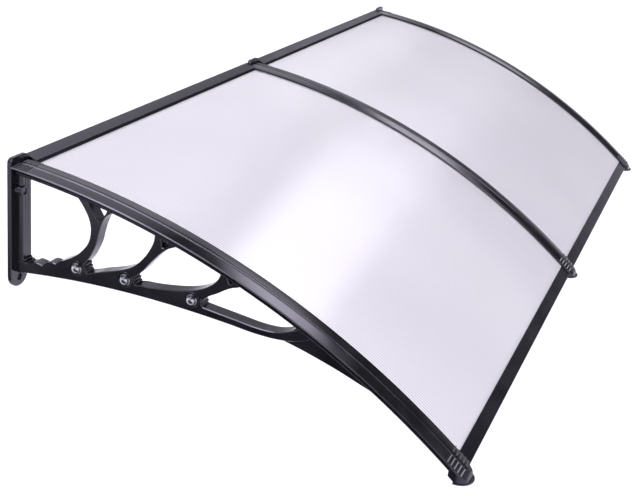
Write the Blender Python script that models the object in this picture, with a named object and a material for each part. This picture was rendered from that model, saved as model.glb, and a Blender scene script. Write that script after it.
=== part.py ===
"""Polycarbonate door canopy: three moulded brackets, two arched hollow sheets,
press bars over the sheet edges, and aluminium rails along the wall and the front.

Metres, Z up. The wall is the plane y = 0 and the canopy stands out towards -Y.
X runs along the wall, with the middle bracket at x = 0.
"""
import math

import bmesh
import bpy
from mathutils import Matrix, Vector

# Overall layout
BRACKET_PITCH = 0.970
BRACKETS = (("left", -1), ("middle", 0), ("right", 1))
FIT = 0.0003

# The arch: an arc through the crown of the press bars, in flat facets.
# It meets the wall at z = 0, already tilted down a little.
ARCH_RADIUS = 1.600
ARCH_TILT_DEGREES = 2.665
ARCH_CENTRE_BEHIND_WALL = ARCH_RADIUS * math.sin(math.radians(ARCH_TILT_DEGREES))
ARCH_CENTRE_Z = -ARCH_RADIUS * math.cos(math.radians(ARCH_TILT_DEGREES))
ARCH_FACETS = 16
BAR_REACH = 0.9050

# Thicknesses, stacked down from the arch line
BAR_CROWN = 0.0006
BAR_THICKNESS = 0.0050
GASKET_THICKNESS = 0.0014
SHEET_THICKNESS = 0.0050
FLANGE_THICKNESS = 0.0028
RIB_DEPTH = 0.0045

# Press bar
BAR_HALF_WIDTH = 0.0280
BAR_EDGE_DROP = 0.0024
BAR_EDGE_ROUND = 0.0015
BAR_RIDGE_HALF_WIDTH = 0.0014
BAR_RIDGE_HEIGHT = 0.0005
BAR_GROOVE_HALF_WIDTH = 0.0024
BAR_GROOVE_DEPTH = 0.0007
GRIP_RIB_WIDTH = 0.0028
GRIP_RIB_HEIGHT = 0.0018
GRIP_RIB_SINK = 0.0008
GRIP_RIB_INNER_X = 0.0045
GRIP_RIB_OUTER_X = 0.0270
REAR_RIBS = 6
REAR_RIB_PITCH = 0.0055
FRONT_RIBS = 5
FRONT_RIB_PITCH = 0.0082
END_MARGIN = 0.0024

# Gaskets between press bar and sheet
GASKET_WIDTH = 0.0070
GASKET_EDGE_INSET = 0.0015

# Bracket: wall plate
PLATE_HALF_WIDTH = 0.0260
PLATE_THICKNESS = 0.0090
PLATE_TOP_Z = 0.0120
PLATE_BOTTOM_Z = -0.2480
PLATE_CORNER = 0.0100
WALL_HOLE_Z = PLATE_BOTTOM_Z + 0.0190
WALL_HOLE_DIAMETER = 0.0085
WALL_HOLE_SINK_DIAMETER = 0.0135
WALL_HOLE_SINK_DEPTH = 0.0040

# Bracket: post, its screw tube and the collar at its foot
POST_FRONT = 0.0260
POST_BACK_HALF_WIDTH = 0.0110
POST_FRONT_HALF_WIDTH = 0.0070
POST_FOOT_Z = -0.2000
POST_LINE_X = 0.0034
POST_LINE_DEPTH = 0.0008
TUBE_X = -0.0094
TUBE_Z = -0.0490
TUBE_DIAMETER = 0.0206
TUBE_BORE = 0.0130
TUBE_PROUD = 0.0015
COLLAR_CUT = 0.0020
COLLAR_STEPS = ((-0.1940, -0.1885, 0.0140, 0.0350), (-0.1885, -0.1840, 0.0122, 0.0305))

# Bracket: open web of the arm and its crescents
WEB_HALF_WIDTH = 0.0130
RIB_HALF_WIDTH = 0.0136
FLANGE_EDGE = 0.0008
GUSSET_HALF_WIDTH = 0.0085
FLANGE_HALF_WIDTH = 0.0180
SPINE_HALF_WIDTH = 0.0035

# Bracket: where the arm meets the arch, and how far below the arch it starts at the wall.
# Outlines of the arm are given in shares of these two.
ARM_REACH = 0.6180
ARM_DROP = 0.2000
GUSSET_TOP = (0.9547, 1.2136)

# Bracket: nose that closes the front end, measured from the end of the press bar
NOSE_LENGTH = 0.0145
NOSE_ROUND = 0.0275
NOSE_TAIL = 0.0395
NOSE_DROP = 0.0146
NOSE_HALF_WIDTH = 0.0260
NOSE_EDGE = 0.0030
NOSE_LIP = 0.0018
NOSE_LIP_THICKNESS = 0.0025

# Cross bolts, with their places in shares of the arm's reach and drop
BOLT_PLACES = ((0.2316, 0.7829), (0.3960, 0.6659), (0.6146, 0.5011))
BOLT_DIAMETER = 0.0080
BOLT_HEAD_DIAMETER = 0.0165
BOLT_HEAD_HEIGHT = 0.0055
BOLT_PROUD = 0.0020
CROSS_WIDTH = 0.0020
CROSS_LENGTH = 0.0092
CROSS_DEPTH = 0.0022
WASHER_DIAMETER = 0.0210
WASHER_THICKNESS = 0.0016
NUT_ACROSS_FLATS = 0.0130
NUT_THICKNESS = 0.0065
BOSS_DIAMETER = 0.0300
BOSS_HEIGHT = 0.0015
BOSS_RIM = 0.0028
REED_RADIUS = 0.0029
REED_GAP = 0.0010
REEDS = 3
REED_SLANT_DEGREES = 70.0
REED_FIRST_DEGREES = 31.0
REED_SHORT = 0.0016

# Screws that hold each press bar down from below, with their places in shares of the bar's reach
BAR_SCREW_PLACES = (0.0939, 0.2818, 0.5746, 0.8840)
SCREW_DIAMETER = 0.0044
SCREW_HEAD_DIAMETER = 0.0084
SCREW_HEAD_HEIGHT = 0.0030
SCREW_SINK = 0.0040
SCREW_BITE = 0.0036

# Rails
RAIL_WALL = 0.0014
REAR_RAIL_TOP_Z = 0.0064
REAR_RAIL_REACH = 0.0386
REAR_RAIL_LOWER_REACH = 0.0240
REAR_RAIL_BACK = 0.0016
FRONT_RAIL_WIDTH = 0.0280
FRONT_RAIL_BEYOND = 0.0036
FRONT_RAIL_GRIP = 0.0215
FRONT_RAIL_LOWER_START = 0.0030
FRONT_RAIL_SKIRT = 0.0063
RAIL_END_GAP = 0.0004

# Sheet
SHEET_BACK = PLATE_THICKNESS + 4 * FIT

SIDES_ROUND = 16
SIDES_HOLE = 10
SIDES_RING = 12
SIDES_REED = 6

# Heights of each layer from the arch line, worked out from the stack
BAR_UNDER = BAR_CROWN - BAR_THICKNESS
GASKET_TOP = BAR_UNDER - FIT
SHEET_TOP = GASKET_TOP - GASKET_THICKNESS - FIT
SHEET_UNDER = SHEET_TOP - SHEET_THICKNESS
FLANGE_TOP = SHEET_UNDER - FIT
FLANGE_UNDER = FLANGE_TOP - FLANGE_THICKNESS
RIB_UNDER = FLANGE_UNDER - RIB_DEPTH


def arch_s(reach):
    """Arc length, measured from the top of the circle, at a distance from the wall."""
    return ARCH_RADIUS * math.asin((reach + ARCH_CENTRE_BEHIND_WALL) / ARCH_RADIUS)


BAR_END_S = arch_s(BAR_REACH)
SHEET_END_S = BAR_END_S - 2 * END_MARGIN
ARCH_START_S = arch_s(0.0)
ARCH_STATIONS = [
    ARCH_START_S + (BAR_END_S - ARCH_START_S) * i / ARCH_FACETS for i in range(ARCH_FACETS + 1)
]


def arch_point(s, height=0.0):
    """Reach and z of the faceted arch at arc length s, height above the arch line."""
    step = ARCH_STATIONS[1] - ARCH_STATIONS[0]
    facet = min(max(int((s - ARCH_STATIONS[0]) / step), 0), ARCH_FACETS - 1)
    part = (s - ARCH_STATIONS[facet]) / step
    ends = []
    for station in ARCH_STATIONS[facet:facet + 2]:
        angle = station / ARCH_RADIUS
        radius = ARCH_RADIUS + height
        ends.append((radius * math.sin(angle) - ARCH_CENTRE_BEHIND_WALL,
                     radius * math.cos(angle) + ARCH_CENTRE_Z))
    (reach_a, z_a), (reach_b, z_b) = ends
    return reach_a + (reach_b - reach_a) * part, z_a + (z_b - z_a) * part


def under_arch(shares):
    """Reach and z of points given in shares of the arm's reach and of its drop below the arch."""
    points = []
    for share_out, share_down in shares:
        reach = share_out * ARM_REACH
        over = math.sqrt(ARCH_RADIUS ** 2 - (reach + ARCH_CENTRE_BEHIND_WALL) ** 2) + ARCH_CENTRE_Z
        points.append((reach, over - share_down * ARM_DROP))
    return points


def arch_run(start, end):
    """Stations from start to end, with those of the facets between them."""
    inner = [s for s in ARCH_STATIONS if start + 1e-4 < s < end - 1e-4]
    return [start] + inner + [end]


def arch_line(start, end, height):
    """Points of the arch from start to end at one height, as reach and z."""
    return [arch_point(s, height) for s in arch_run(start, end)]


def smooth_through(points, steps=3):
    """A smooth open curve through the points, with the given steps between each pair."""
    padded = [points[0]] + list(points) + [points[-1]]
    curve = []
    for i in range(1, len(padded) - 2):
        p0, p1, p2, p3 = (Vector(padded[i + k]) for k in (-1, 0, 1, 2))
        for step in range(steps):
            t = step / steps
            curve.append(tuple(0.5 * (2 * p1 + (p2 - p0) * t + (2 * p0 - 5 * p1 + 4 * p2 - p3) * t ** 2
                                      + (3 * p1 - p0 - 3 * p2 + p3) * t ** 3)))
    return curve + [tuple(points[-1])]


def finish(name, colour, roughness, metallic=0.0, transmission=0.0):
    """A material with the piece's colour and gloss."""
    material = bpy.data.materials.new(name)
    material.use_nodes = True
    shader = material.node_tree.nodes["Principled BSDF"]
    shader.inputs["Base Color"].default_value = (*colour, 1.0)
    shader.inputs["Roughness"].default_value = roughness
    shader.inputs["Metallic"].default_value = metallic
    shader.inputs["Transmission Weight"].default_value = transmission
    return material


def new_mesh(name, bm):
    """Turn a bmesh into a mesh with its faces pointing out."""
    bmesh.ops.recalc_face_normals(bm, faces=bm.faces)
    mesh = bpy.data.meshes.new(name)
    bm.to_mesh(mesh)
    bm.free()
    return mesh


def place(name, mesh, material, location=(0.0, 0.0, 0.0), crease=math.radians(32)):
    """Make a named object of a mesh, shaded smooth up to the crease angle."""
    if not mesh.materials:
        mesh.materials.append(material)
        mesh.shade_smooth()
        mesh.set_sharp_from_angle(angle=crease)
    obj = bpy.data.objects.new(name, mesh)
    obj.location = location
    bpy.context.scene.collection.objects.link(obj)
    return obj


def combined(name, base, additions=(), cuts=(), overlap=()):
    """Join the additions to the base, keep what lies in the overlap solids, then cut."""
    scene = bpy.context.scene
    target = bpy.data.objects.new(name, new_mesh(name, base))
    scene.collection.objects.link(target)
    tools = []
    for operation, shapes in (("INTERSECT", overlap), ("UNION", additions), ("DIFFERENCE", cuts)):
        for shape in shapes:
            tool = bpy.data.objects.new(name + "_tool", new_mesh(name + "_tool", shape))
            tool.hide_render = True
            tool.display_type = "WIRE"
            scene.collection.objects.link(tool)
            modifier = target.modifiers.new(operation.title(), "BOOLEAN")
            modifier.operation = operation
            modifier.solver = "EXACT"
            modifier.object = tool
            tools.append(tool)
    graph = bpy.context.evaluated_depsgraph_get()
    mesh = bpy.data.meshes.new_from_object(target.evaluated_get(graph))
    mesh.name = name
    for obj in tools + [target]:
        old = obj.data
        bpy.data.objects.remove(obj)
        bpy.data.meshes.remove(old)
    return mesh


def loft(sections):
    """A closed solid through rings of points, one ring for each section."""
    bm = bmesh.new()
    rings = [[bm.verts.new(point) for point in section] for section in sections]
    count = len(rings[0])
    for ring_a, ring_b in zip(rings, rings[1:]):
        for i in range(count):
            j = (i + 1) % count
            bm.faces.new((ring_a[i], ring_a[j], ring_b[j], ring_b[i]))
    bm.faces.new(rings[0])
    bm.faces.new(list(reversed(rings[-1])))
    return bm


def arch_sweep(profile, start, end):
    """Sweep a section, given as x and height, along the arch."""
    sections = []
    for s in arch_run(start, end):
        ring = []
        for x, height in profile:
            reach, z = arch_point(s, height)
            ring.append((x, -reach, z))
        sections.append(ring)
    return loft(sections)


def side_prism(outline, x_from, x_to):
    """A solid from an outline of reach and z, between two x planes."""
    return loft([[(x, -reach, z) for reach, z in outline] for x in (x_from, x_to)])


def plan_prism(outline, z_from, z_to):
    """A solid from an outline of x and reach, between two heights."""
    return loft([[(x, -reach, z) for x, reach in outline] for z in (z_from, z_to)])


def round_bar(diameter, start, end, sides=SIDES_ROUND, end_diameter=None):
    """A cylinder or cone between two points."""
    start, end = Vector(start), Vector(end)
    axis = end - start
    bm = bmesh.new()
    bmesh.ops.create_cone(
        bm, cap_ends=True, segments=sides, radius1=diameter / 2,
        radius2=(end_diameter or diameter) / 2, depth=axis.length)
    turn = Vector((0, 0, 1)).rotation_difference(axis.normalized()).to_matrix().to_4x4()
    bm.transform(Matrix.Translation((start + end) / 2) @ turn)
    return bm


def box(low, high):
    """A box between two corners."""
    bm = bmesh.new()
    bmesh.ops.create_cube(bm, size=1.0)
    size = [b - a for a, b in zip(low, high)]
    middle = [(a + b) / 2 for a, b in zip(low, high)]
    bm.transform(Matrix.Translation(middle) @ Matrix.Diagonal((*size, 1.0)))
    return bm


def clear_round(diameter, sides=SIDES_HOLE):
    """Diameter of a many-sided hole that leaves the fit gap all round a round pin."""
    return (diameter + 2 * FIT) / math.cos(math.pi / sides)


def web_outlines():
    """Outer outline of the bracket's arm and crescents, and its openings.

    The openings run up into the rib under the arch, which closes them along its own line.
    """
    seam = (FLANGE_UNDER + RIB_UNDER) / 2
    roof = (seam + RIB_UNDER) / 2

    def smooth(shares):
        return smooth_through(under_arch(shares), 2)

    def along_roof(share_from, share_to):
        return arch_line(arch_s(share_from * ARM_REACH), arch_s(share_to * ARM_REACH), roof)[::-1]

    underside = smooth([(0.9806, 0.1193), (0.9417, 0.2295), (0.8964, 0.3208), (0.8285, 0.4195),
                        (0.7282, 0.5183), (0.6149, 0.6188), (0.4693, 0.7379), (0.3722, 0.8135),
                        (0.2735, 0.8875), (0.1780, 0.9573), (0.0550, 1.0443)])
    outer = (arch_line(arch_s(PLATE_THICKNESS * 0.4), arch_s(ARM_REACH), seam) + underside
             + under_arch([(0.0194, 1.0700), (0.0058, 1.0596)]))

    post_share = POST_FRONT / ARM_REACH
    steps = smooth([(post_share, 0.9387), (0.0647, 0.9350), (0.0809, 0.9083), (0.1113, 0.9054),
                    (0.1350, 0.8445), (0.1587, 0.8369), (0.1940, 0.7478), (0.2249, 0.6750)])
    bay_one = (steps[:-1]
               + smooth([(0.2249, 0.6750), (0.2558, 0.5537), (0.2738, 0.3804), (0.2638, 0.2316),
                         (0.2280, 0.0989)])
               + along_roof(post_share, 0.2168))
    bay_two = (smooth([(0.3447, 0.0944), (0.3212, 0.1798), (0.3058, 0.3153), (0.2932, 0.4868),
                       (0.2686, 0.6543), (0.2534, 0.7248)])
               + smooth([(0.2628, 0.7966), (0.2840, 0.7635), (0.3382, 0.6712), (0.4086, 0.5319),
                         (0.4595, 0.3337), (0.4838, 0.1086)])
               + along_roof(0.3528, 0.4830))
    bay_three = (smooth([(0.5502, 0.1122), (0.5154, 0.2062), (0.4887, 0.3216), (0.4668, 0.4277),
                         (0.4280, 0.5871), (0.4201, 0.6149)])
                 + smooth([(0.4275, 0.6745), (0.4466, 0.6485), (0.5146, 0.5733), (0.6036, 0.4345),
                           (0.6659, 0.2783), (0.6958, 0.1207)])
                 + along_roof(0.5631, 0.6966))
    bay_four = (smooth([(0.7508, 0.1281), (0.7152, 0.2230), (0.6586, 0.3970), (0.6427, 0.4503)])
                + smooth([(0.6476, 0.5106), (0.6921, 0.4785), (0.7573, 0.4240), (0.8252, 0.3589),
                          (0.8819, 0.2779), (0.9516, 0.1000)])
                + along_roof(0.7702, 0.9709))

    # The small three-cornered openings between each crescent's two upper ends
    eye_one = (under_arch([(0.2670, 0.1194), (0.2824, 0.1796), (0.3018, 0.2474), (0.3115, 0.1924),
                           (0.3212, 0.1423)]) + along_roof(0.2621, 0.3366))
    eye_two = (under_arch([(0.5097, 0.1415), (0.5100, 0.1887), (0.5154, 0.1820), (0.5259, 0.1362)])
               + along_roof(0.5097, 0.5388))
    eye_three = under_arch([(0.7249, 0.1361), (0.7282, 0.1476)]) + along_roof(0.7249, 0.7411)
    return outer, [bay_one, bay_two, bay_three, bay_four, eye_one, eye_two, eye_three]


def web_solid():
    """The open arm and its crescents."""
    outer, openings = web_outlines()
    half, beyond = WEB_HALF_WIDTH, WEB_HALF_WIDTH * 2
    return taken(combined("web", side_prism(outer, -half, half),
                          cuts=[side_prism(opening, -beyond, beyond) for opening in openings]))


def taken(mesh):
    """The bmesh of a mesh that is no longer needed itself."""
    bm = bmesh.new()
    bm.from_mesh(mesh)
    bpy.data.meshes.remove(mesh)
    return bm


def gusset_outline():
    """Outline of the thin web that runs from the arm's end to the arch, in front of it."""
    low = under_arch([(0.8867, 0.3151), (0.8997, 0.3225), (0.9579, 0.2828), (1.0194, 0.2402),
                      (1.1294, 0.1657), (1.1838, 0.1245)])
    start, end = (arch_s(share * ARM_REACH) for share in GUSSET_TOP)
    top = arch_line(start, end, FLANGE_UNDER - RIB_DEPTH / 3)
    return low + top[::-1]


def plate_outline():
    """Wall plate in x and z: rounded corners on top and a half round at the bottom."""
    points = []
    top = PLATE_TOP_Z - PLATE_CORNER
    for centre_x, start in ((PLATE_HALF_WIDTH - PLATE_CORNER, 0), (PLATE_CORNER - PLATE_HALF_WIDTH, 90)):
        for step in range(5):
            angle = math.radians(start + 90 * step / 4)
            points.append((centre_x + PLATE_CORNER * math.cos(angle), top + PLATE_CORNER * math.sin(angle)))
    for step in range(13):
        angle = math.radians(180 + 180 * step / 12)
        points.append((PLATE_HALF_WIDTH * math.cos(angle),
                       PLATE_BOTTOM_Z + PLATE_HALF_WIDTH + PLATE_HALF_WIDTH * math.sin(angle)))
    return points


def nose_frame():
    """Front, start of the rounding and back of the nose as reach, and the z of its base."""
    end_reach, end_z = arch_point(BAR_END_S)
    front = end_reach + NOSE_LENGTH
    return front, front - NOSE_ROUND, front - NOSE_TAIL, end_z - NOSE_DROP


def nose_plan(back, grow=0.0):
    """Plan of the nose: straight sides and a half-round front."""
    front, straight, tail, base = nose_frame()
    half = NOSE_HALF_WIDTH + grow
    points = [(half, back)]
    for step in range(13):
        angle = math.pi * step / 12
        points.append((half * math.cos(angle), straight + (front - straight + grow) * math.sin(angle)))
    return points + [(-half, back)]


def nose_side():
    """Side view of the nose, stepped where the flange, the spine and the bar end on it."""
    front, straight, tail, base = nose_frame()
    slot_end = SHEET_END_S + END_MARGIN - FIT
    tail_s = arch_s(tail)
    top = [arch_point(BAR_END_S + 2 * NOSE_EDGE, BAR_CROWN - FIT), arch_point(BAR_END_S + FIT, BAR_CROWN)]
    steps = [arch_point(BAR_END_S + FIT, BAR_UNDER - FIT), arch_point(slot_end, BAR_UNDER - FIT),
             arch_point(slot_end, FLANGE_TOP - FIT), arch_point(tail_s, FLANGE_TOP - 3 * FIT)]
    shoulder = top[0][1]
    return [arch_point(tail_s, RIB_UNDER + FIT), (straight, base), (front, base),
            (front, shoulder - 2 * NOSE_EDGE), (front - NOSE_EDGE * 0.7, shoulder - NOSE_EDGE)] + top + steps


def post_solids():
    """The post with two fine lines down its front, and the two steps of the collar at its foot."""
    back = PLATE_THICKNESS / 2
    half_plan = [(POST_BACK_HALF_WIDTH, back), (POST_FRONT_HALF_WIDTH, POST_FRONT),
                 (POST_LINE_X + POST_LINE_DEPTH, POST_FRONT), (POST_LINE_X, POST_FRONT - POST_LINE_DEPTH),
                 (POST_LINE_X - POST_LINE_DEPTH, POST_FRONT)]
    head = arch_point(arch_s(0.0), RIB_UNDER + RIB_DEPTH / 3)[1]
    solids = [plan_prism(half_plan + [(-x, reach) for x, reach in reversed(half_plan)], POST_FOOT_Z, head)]
    for low, high, half, reach in COLLAR_STEPS:
        inner = back + (COLLAR_STEPS[0][3] - reach) / 10 + FIT
        half_plan = [(half, inner), (half, reach - COLLAR_CUT), (half - COLLAR_CUT, reach)]
        solids.append(plan_prism(half_plan + [(-x, reach) for x, reach in reversed(half_plan)], low, high))
    return solids


def nose_solids():
    """The nose and the lip round its base."""
    front, straight, tail, base = nose_frame()
    above, below = base + 2 * NOSE_ROUND, base - NOSE_EDGE
    body = combined("nose", side_prism(nose_side(), -2 * NOSE_HALF_WIDTH, 2 * NOSE_HALF_WIDTH),
                    overlap=[plan_prism(nose_plan(tail - NOSE_ROUND), below, above)])
    lip = plan_prism(nose_plan(straight - NOSE_LIP, NOSE_LIP), base - NOSE_LIP_THICKNESS, base + FIT)
    return [taken(body), lip]


def bolt_features():
    """Raised rings round the cross bolts and reeds beside them, and the bolts' holes."""
    face = WEB_HALF_WIDTH
    proud, beyond = face + BOSS_HEIGHT, 2 * face
    rings, reeds, holes = [], [], []
    for reach, z in under_arch(BOLT_PLACES):
        rings.append(round_bar(BOSS_DIAMETER, (-proud, -reach, z), (proud, -reach, z)))
        holes.append(round_bar(clear_round(BOLT_DIAMETER), (-beyond, -reach, z), (beyond, -reach, z),
                               SIDES_HOLE))
        for side in (-1, 1):
            holes.append(round_bar(BOSS_DIAMETER - 2 * BOSS_RIM, (side * face, -reach, z),
                                   (side * beyond, -reach, z)))
        for reed_reach, reed_z in reed_places(reach, z):
            reeds.append(round_bar(2 * REED_RADIUS, (REED_SHORT - face, -reed_reach, reed_z),
                                   (face - REED_SHORT, -reed_reach, reed_z), SIDES_REED))
    return rings, reeds, holes


def reed_places(reach, z):
    """Middles of the reeds beside a bolt, in a slanting row that starts above it."""
    away = BOSS_DIAMETER / 2 + REED_RADIUS / 2
    first, slant = math.radians(REED_FIRST_DEGREES), math.radians(REED_SLANT_DEGREES)
    pitch = 2 * REED_RADIUS + REED_GAP
    return [(reach + away * math.cos(first) + pitch * reed * math.cos(slant),
             z + away * math.sin(first) - pitch * reed * math.sin(slant)) for reed in range(REEDS)]


def bar_screw_reaches():
    return [share * BAR_REACH for share in BAR_SCREW_PLACES]


def screw_holes():
    """Holes for the press bar screws, and the wall screws' holes in the plate and the tube."""
    holes = []
    for reach in bar_screw_reaches():
        low = screw_line(reach, RIB_UNDER - SCREW_SINK)
        holes.append(round_bar(clear_round(SCREW_DIAMETER), low, screw_line(reach, BAR_CROWN), SIDES_HOLE))
        holes.append(round_bar(clear_round(SCREW_HEAD_DIAMETER), low,
                               screw_line(reach, RIB_UNDER + SCREW_SINK), SIDES_HOLE))
    wall = PLATE_THICKNESS
    for x, z, seat, wide in ((0.0, WALL_HOLE_Z, WALL_HOLE_SINK_DEPTH, WALL_HOLE_SINK_DIAMETER),
                             (TUBE_X, TUBE_Z, wall / 2, TUBE_BORE)):
        holes.append(round_bar(WALL_HOLE_DIAMETER, (x, wall, z), (x, -wall, z), SIDES_HOLE))
        holes.append(round_bar(wide, (x, seat - wall, z), (x, -2 * POST_FRONT, z), SIDES_HOLE))
    return holes


def bracket_mesh():
    """One bracket: wall plate, post, open arm, arch flange and nose in a single moulding."""
    half_profile = [(SPINE_HALF_WIDTH, BAR_UNDER - FIT), (SPINE_HALF_WIDTH, FLANGE_TOP),
                    (FLANGE_HALF_WIDTH, FLANGE_TOP), (FLANGE_HALF_WIDTH, FLANGE_UNDER + FLANGE_EDGE),
                    (RIB_HALF_WIDTH, FLANGE_UNDER), (RIB_HALF_WIDTH, RIB_UNDER)]
    arch_profile = half_profile + [(-x, height) for x, height in reversed(half_profile)]
    arch = arch_sweep(arch_profile, arch_s(PLATE_THICKNESS / 2), SHEET_END_S)
    plate = loft([[(x, y, z) for x, z in plate_outline()] for y in (0.0, -PLATE_THICKNESS)])
    tube = round_bar(TUBE_DIAMETER, (TUBE_X, -PLATE_THICKNESS / 2, TUBE_Z),
                     (TUBE_X, -POST_FRONT - TUBE_PROUD, TUBE_Z))
    gusset = side_prism(gusset_outline(), -GUSSET_HALF_WIDTH, GUSSET_HALF_WIDTH)
    rings, reeds, bolt_holes = bolt_features()
    additions = [web_solid(), gusset, arch, tube] + post_solids() + nose_solids() + rings + reeds
    return combined("bracket", plate, additions=additions, cuts=bolt_holes + screw_holes())


def screw_line(reach, height):
    """Point on a press bar screw's axis, square to the arch at a distance from the wall."""
    y, z = arch_point(arch_s(reach), height)
    return (0.0, -y, z)


def press_bar_mesh():
    """Press bar: a low roof section with a ridge, and grip ribs across both ends."""
    slope = (BAR_CROWN + BAR_EDGE_DROP) / BAR_HALF_WIDTH

    def skin(x):
        return BAR_CROWN - slope * x

    groove = BAR_GROOVE_HALF_WIDTH
    half = [(BAR_RIDGE_HALF_WIDTH, BAR_CROWN + BAR_RIDGE_HEIGHT), (groove, skin(groove) - BAR_GROOVE_DEPTH),
            (groove + 0.0009, skin(groove + 0.0009)),
            (BAR_HALF_WIDTH - BAR_EDGE_ROUND, skin(BAR_HALF_WIDTH - BAR_EDGE_ROUND)),
            (BAR_HALF_WIDTH, skin(BAR_HALF_WIDTH) - BAR_EDGE_ROUND / 2), (BAR_HALF_WIDTH, BAR_UNDER)]
    profile = half + [(-x, height) for x, height in reversed(half)]
    start = arch_s(PLATE_THICKNESS + FIT)
    base = arch_sweep(profile, start, BAR_END_S)

    ribs = []
    first_front = BAR_END_S - END_MARGIN - GRIP_RIB_WIDTH - FRONT_RIB_PITCH * (FRONT_RIBS - 1)
    places = [start + END_MARGIN + REAR_RIB_PITCH * i for i in range(REAR_RIBS)]
    places += [first_front + FRONT_RIB_PITCH * i for i in range(FRONT_RIBS)]
    for s in places:
        for side in (-1, 1):
            inner, outer = GRIP_RIB_INNER_X, GRIP_RIB_OUTER_X
            top = [(inner, skin(inner) + GRIP_RIB_HEIGHT), (outer, skin(outer) + GRIP_RIB_HEIGHT)]
            low = [(outer, skin(outer) - GRIP_RIB_SINK), (inner, skin(inner) - GRIP_RIB_SINK)]
            rings = []
            for at in (s, s + GRIP_RIB_WIDTH):
                ring = []
                for x, height in top + low:
                    reach, z = arch_point(at, height)
                    ring.append((side * x, -reach, z))
                rings.append(ring)
            ribs.append(loft(rings))

    pilots = [round_bar(clear_round(SCREW_DIAMETER), screw_line(reach, BAR_UNDER - 0.003),
                        screw_line(reach, BAR_UNDER + SCREW_BITE + FIT), SIDES_HOLE)
              for reach in bar_screw_reaches()]
    return combined("press_bar", base, additions=ribs, cuts=pilots)


def sheet_mesh(x_from, x_to):
    """One arched sheet between two bracket spines."""
    profile = [(x_from, SHEET_TOP), (x_to, SHEET_TOP), (x_to, SHEET_UNDER), (x_from, SHEET_UNDER)]
    return new_mesh("sheet", arch_sweep(profile, arch_s(SHEET_BACK), SHEET_END_S))


def gasket_mesh(side):
    """Rubber strip under one side of a press bar, on the sheet's edge."""
    outer = BAR_HALF_WIDTH - GASKET_EDGE_INSET
    inner = outer - GASKET_WIDTH
    low = GASKET_TOP - GASKET_THICKNESS
    profile = [(side * x, height) for x, height in
               ((inner, low), (inner, GASKET_TOP), (outer, GASKET_TOP), (outer, low))]
    return new_mesh("gasket", arch_sweep(profile, arch_s(SHEET_BACK), SHEET_END_S))


def rear_rail_outline():
    """Rear rail in reach and z: a sloping flashing with a slot for the sheet's back edge."""
    lip_under = arch_point(arch_s(REAR_RAIL_REACH), SHEET_TOP + FIT)[1]
    lip_top = lip_under + RAIL_WALL
    slope = (lip_top - REAR_RAIL_TOP_Z) / REAR_RAIL_REACH
    inner_top = REAR_RAIL_TOP_Z + slope * REAR_RAIL_BACK - RAIL_WALL
    ledge = [arch_point(arch_s(reach), SHEET_UNDER - FIT)
             for reach in (REAR_RAIL_LOWER_REACH, REAR_RAIL_BACK)]
    low = ledge[0][1] - RAIL_WALL
    return [(0.0, REAR_RAIL_TOP_Z), (REAR_RAIL_REACH, lip_top), (REAR_RAIL_REACH, lip_under),
            (REAR_RAIL_BACK, inner_top), ledge[1], ledge[0], (REAR_RAIL_LOWER_REACH, low), (0.0, low)]


def front_rail_outline():
    """Front rail in reach and z: a slot on the sheet's front edge and a rounded nose with a skirt."""
    start = BAR_END_S + FRONT_RAIL_BEYOND - FRONT_RAIL_WIDTH
    top = SHEET_TOP + FIT + RAIL_WALL
    under = SHEET_UNDER - FIT
    skirt = under - RAIL_WALL - FRONT_RAIL_SKIRT
    width = FRONT_RAIL_WIDTH
    section = [(0.0, SHEET_TOP + FIT), (0.0, top), (width * 0.60, top), (width * 0.79, top - 0.0011),
               (width * 0.93, top - 0.0043), (width, top - 0.0093), (width, skirt),
               (width - RAIL_WALL, skirt), (width - RAIL_WALL, under - RAIL_WALL - 0.0010),
               (width - 2 * RAIL_WALL, under - RAIL_WALL), (FRONT_RAIL_LOWER_START, under - RAIL_WALL),
               (FRONT_RAIL_LOWER_START, under), (FRONT_RAIL_GRIP, under), (FRONT_RAIL_GRIP, SHEET_TOP + FIT)]
    return [arch_point(start + along, height) for along, height in section]


def bolt_mesh():
    """Pan head bolt along X, its head to the left, with a cross recess."""
    head_base = -WEB_HALF_WIDTH - FIT - WASHER_THICKNESS - FIT
    tip = WEB_HALF_WIDTH + FIT + NUT_THICKNESS + BOLT_PROUD
    radius, height = BOLT_HEAD_DIAMETER / 2, BOLT_HEAD_HEIGHT
    outline = [(tip, 0.0), (tip, BOLT_DIAMETER / 2 - 0.0006), (tip - 0.0006, BOLT_DIAMETER / 2),
               (head_base, BOLT_DIAMETER / 2), (head_base, radius),
               (head_base - height * 0.45, radius * 0.98), (head_base - height, radius * 0.62),
               (head_base - height, 0.0)]
    top, bottom = head_base - height - FIT, head_base - height + CROSS_DEPTH
    wide, thin = CROSS_LENGTH / 2, CROSS_WIDTH / 2
    recess = [box((top, -half_y, -half_z), (bottom, half_y, half_z))
              for half_y, half_z in ((wide, thin), (thin, wide))]
    return combined("bolt", turned(outline, SIDES_RING), cuts=recess)


def turned(outline, sides):
    """Turn an outline of x and radius about the X axis; it starts and ends on the axis."""
    bm = bmesh.new()
    rings = []
    for x, radius in outline[1:-1]:
        rings.append([bm.verts.new((x, radius * math.cos(2 * math.pi * i / sides),
                                    radius * math.sin(2 * math.pi * i / sides))) for i in range(sides)])
    for ring_a, ring_b in zip(rings, rings[1:]):
        for i in range(sides):
            j = (i + 1) % sides
            bm.faces.new((ring_a[i], ring_a[j], ring_b[j], ring_b[i]))
    bm.faces.new(rings[0])
    bm.faces.new(list(reversed(rings[-1])))
    return bm


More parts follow.
